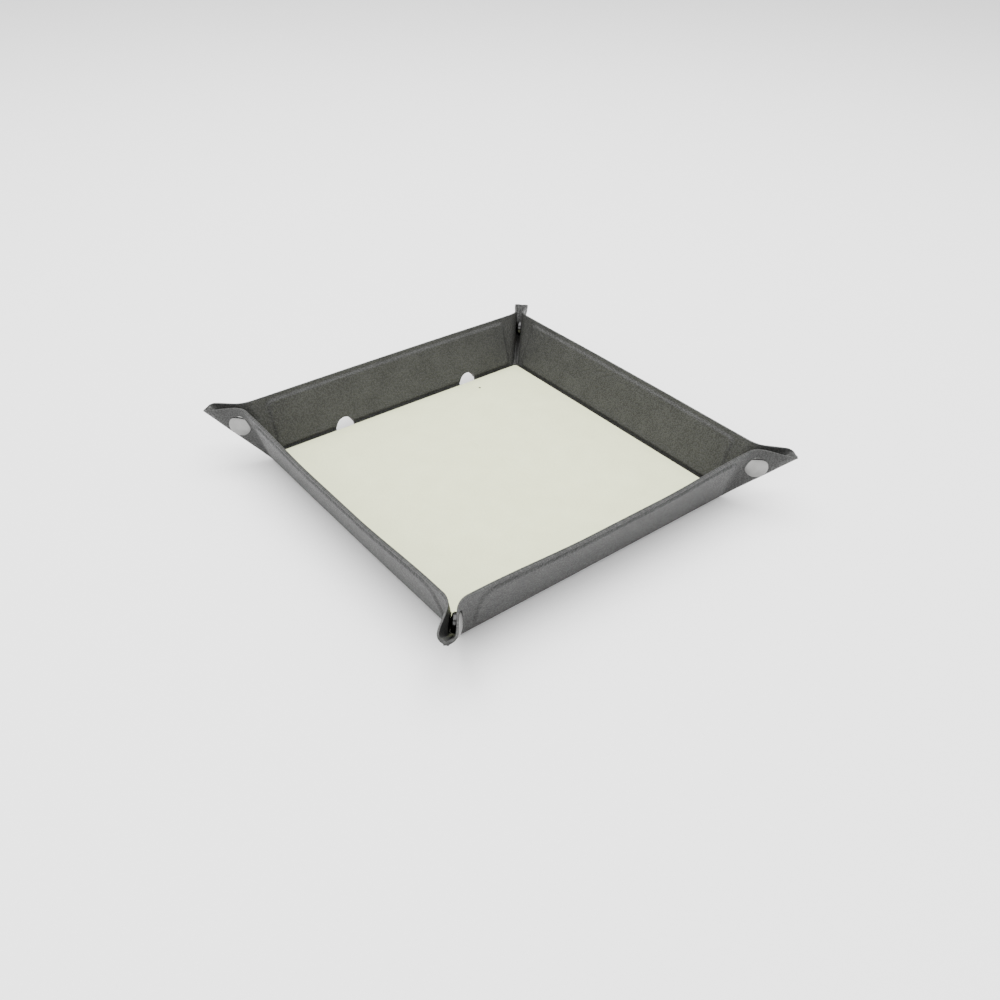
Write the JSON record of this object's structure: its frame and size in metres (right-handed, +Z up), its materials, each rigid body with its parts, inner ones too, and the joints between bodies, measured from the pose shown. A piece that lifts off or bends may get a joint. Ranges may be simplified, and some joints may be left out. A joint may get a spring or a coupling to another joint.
{
  "type": "wireless charging tray",
  "caption": "Square leather tray whose corners snap up, with a cream floor pad that hides a wireless charger and holes for cables in one wall.",
  "frame": {"origin": "middle of the underside of the base, on the surface that the tray stands on", "axes": "+Z up out of the tray; +Y towards the wall with the cable holes; +X along that wall towards the hole beside the charging socket"},
  "size_m": [0.2322, 0.2322, 0.0348],
  "materials": {
    "grey_leather": "fine pebble grain",
    "cream_leather": "very fine grain, matt",
    "fibre_board": "pressed fibre board",
    "snap_metal": "polished gunmetal plating",
    "black_plastic": "moulded",
    "foam": "closed-cell foam",
    "ferrite": "sintered sheet",
    "copper": "enamelled copper wire",
    "green_board": "solder mask",
    "steel": "plated",
    "chips": "moulded",
    "lamp": "clear lens",
    "clear_plastic": "smoked, polished"
  },
  "bodies": {
    "base": {"base_cover": "grey_leather", "pad_core": "fibre_board", "pad_skin": "cream_leather", "charger_case": "black_plastic", "charger_lid": "black_plastic", "coil_foam": "foam", "ferrite_sheet": "ferrite", "charging_coil": "copper", "circuit_board": "green_board", "board_screws": "steel", "board_components": "chips", "usb_c_shell": "steel", "usb_c_tongue": "chips", "status_led": "lamp", "light_pipe": "clear_plastic"},
    "back_wall": {"back_wall_cover": "grey_leather", "back_wall_lining": "grey_leather", "back_wall_stiffener": "fibre_board"},
    "left_wall": {"left_wall_cover": "grey_leather", "left_wall_lining": "grey_leather", "left_wall_stiffener": "fibre_board"},
    "front_wall": {"front_wall_cover": "grey_leather", "front_wall_lining": "grey_leather", "front_wall_stiffener": "fibre_board"},
    "right_wall": {"right_wall_cover": "grey_leather", "right_wall_lining": "grey_leather", "right_wall_stiffener": "fibre_board"},
    "back_fin_a": {"back_fin_a": "grey_leather", "back_left_snap_stud": "snap_metal", "back_left_snap_back": "snap_metal"},
    "back_fin_b": {"back_fin_b": "grey_leather", "back_right_snap_stud": "snap_metal", "back_right_snap_back": "snap_metal"},
    "left_fin_a": {"left_fin_a": "grey_leather", "front_left_snap_stud": "snap_metal", "front_left_snap_back": "snap_metal"},
    "left_fin_b": {"left_fin_b": "grey_leather", "back_left_snap_cap": "snap_metal", "back_left_snap_socket": "snap_metal"},
    "front_fin_a": {"front_fin_a": "grey_leather", "front_right_snap_cap": "snap_metal", "front_right_snap_socket": "snap_metal"},
    "front_fin_b": {"front_fin_b": "grey_leather", "front_left_snap_cap": "snap_metal", "front_left_snap_socket": "snap_metal"},
    "right_fin_a": {"right_fin_a": "grey_leather", "back_right_snap_cap": "snap_metal", "back_right_snap_socket": "snap_metal"},
    "right_fin_b": {"right_fin_b": "grey_leather", "front_right_snap_stud": "snap_metal", "front_right_snap_back": "snap_metal"},
    "back_right_keel": {"back_right_keel": "grey_leather"},
    "back_left_keel": {"back_left_keel": "grey_leather"},
    "front_left_keel": {"front_left_keel": "grey_leather"},
    "front_right_keel": {"front_right_keel": "grey_leather"}
  },
  "joints": [
    {"name": "back_wall_fold", "type": "hinge", "parent": "base", "child": "back_wall", "pos_m": [0, 0.09, 0.0013], "axis": [-1, 0, 0], "range_deg": [0, 72]},
    {"name": "left_wall_fold", "type": "hinge", "parent": "base", "child": "left_wall", "pos_m": [-0.09, 0, 0.0013], "axis": [0, -1, 0], "range_deg": [0, 72]},
    {"name": "front_wall_fold", "type": "hinge", "parent": "base", "child": "front_wall", "pos_m": [0, -0.09, 0.0013], "axis": [1, 0, 0], "range_deg": [0, 72]},
    {"name": "right_wall_fold", "type": "hinge", "parent": "base", "child": "right_wall", "pos_m": [0.09, 0, 0.0013], "axis": [0, 1, 0], "range_deg": [0, 72]},
    {"name": "back_fin_a_fold", "type": "hinge", "parent": "back_wall", "child": "back_fin_a", "pos_m": [-0.09146, 0.09443, 0.01493], "axis": [-0.2952, 0.2952, 0.9087], "range_deg": [0, 47.74]},
    {"name": "back_fin_b_fold", "type": "hinge", "parent": "back_wall", "child": "back_fin_b", "pos_m": [0.09146, 0.09443, 0.01493], "axis": [-0.2952, -0.2952, -0.9087], "range_deg": [0, 47.74]},
    {"name": "left_fin_a_fold", "type": "hinge", "parent": "left_wall", "child": "left_fin_a", "pos_m": [-0.09443, -0.09146, 0.01493], "axis": [-0.2952, -0.2952, 0.9087], "range_deg": [0, 47.74]},
    {"name": "left_fin_b_fold", "type": "hinge", "parent": "left_wall", "child": "left_fin_b", "pos_m": [-0.09443, 0.09146, 0.01493], "axis": [0.2952, -0.2952, -0.9087], "range_deg": [0, 47.74]},
    {"name": "front_fin_a_fold", "type": "hinge", "parent": "front_wall", "child": "front_fin_a", "pos_m": [0.09146, -0.09443, 0.01493], "axis": [0.2952, -0.2952, 0.9087], "range_deg": [0, 47.74]},
    {"name": "front_fin_b_fold", "type": "hinge", "parent": "front_wall", "child": "front_fin_b", "pos_m": [-0.09146, -0.09443, 0.01493], "axis": [0.2952, 0.2952, -0.9087], "range_deg": [0, 47.74]},
    {"name": "right_fin_a_fold", "type": "hinge", "parent": "right_wall", "child": "right_fin_a", "pos_m": [0.09443, 0.09146, 0.01493], "axis": [0.2952, 0.2952, 0.9087], "range_deg": [0, 47.74]},
    {"name": "right_fin_b_fold", "type": "hinge", "parent": "right_wall", "child": "right_fin_b", "pos_m": [0.09443, -0.09146, 0.01493], "axis": [-0.2952, 0.2952, -0.9087], "range_deg": [0, 47.74]},
    {"name": "back_right_keel_fold", "type": "hinge", "parent": "base", "child": "back_right_keel", "pos_m": [0.09, 0.09, 0.0013], "axis": [-0.7071, 0.7071, 0], "range_deg": [0, 37.49]},
    {"name": "back_left_keel_fold", "type": "hinge", "parent": "base", "child": "back_left_keel", "pos_m": [-0.09, 0.09, 0.0013], "axis": [-0.7071, -0.7071, 0], "range_deg": [0, 37.49]},
    {"name": "front_left_keel_fold", "type": "hinge", "parent": "base", "child": "front_left_keel", "pos_m": [-0.09, -0.09, 0.0013], "axis": [0.7071, -0.7071, 0], "range_deg": [0, 37.49]},
    {"name": "front_right_keel_fold", "type": "hinge", "parent": "base", "child": "front_right_keel", "pos_m": [0.09, -0.09, 0.0013], "axis": [0.7071, 0.7071, 0], "range_deg": [0, 37.49]}
  ],
  "couplings": [
    {"joint": "left_wall_fold", "follows": "back_wall_fold", "ratio": 1},
    {"joint": "front_wall_fold", "follows": "back_wall_fold", "ratio": 1},
    {"joint": "right_wall_fold", "follows": "back_wall_fold", "ratio": 1},
    {"joint": "back_fin_a_fold", "follows": "back_wall_fold", "ratio": 0.66305},
    {"joint": "back_fin_b_fold", "follows": "back_wall_fold", "ratio": 0.66305},
    {"joint": "left_fin_a_fold", "follows": "back_wall_fold", "ratio": 0.66305},
    {"joint": "left_fin_b_fold", "follows": "back_wall_fold", "ratio": 0.66305},
    {"joint": "front_fin_a_fold", "follows": "back_wall_fold", "ratio": 0.66305},
    {"joint": "front_fin_b_fold", "follows": "back_wall_fold", "ratio": 0.66305},
    {"joint": "right_fin_a_fold", "follows": "back_wall_fold", "ratio": 0.66305},
    {"joint": "right_fin_b_fold", "follows": "back_wall_fold", "ratio": 0.66305},
    {"joint": "back_right_keel_fold", "follows": "back_wall_fold", "ratio": 0.52074},
    {"joint": "back_left_keel_fold", "follows": "back_wall_fold", "ratio": 0.52074},
    {"joint": "front_left_keel_fold", "follows": "back_wall_fold", "ratio": 0.52074},
    {"joint": "front_right_keel_fold", "follows": "back_wall_fold", "ratio": 0.52074}
  ]
}
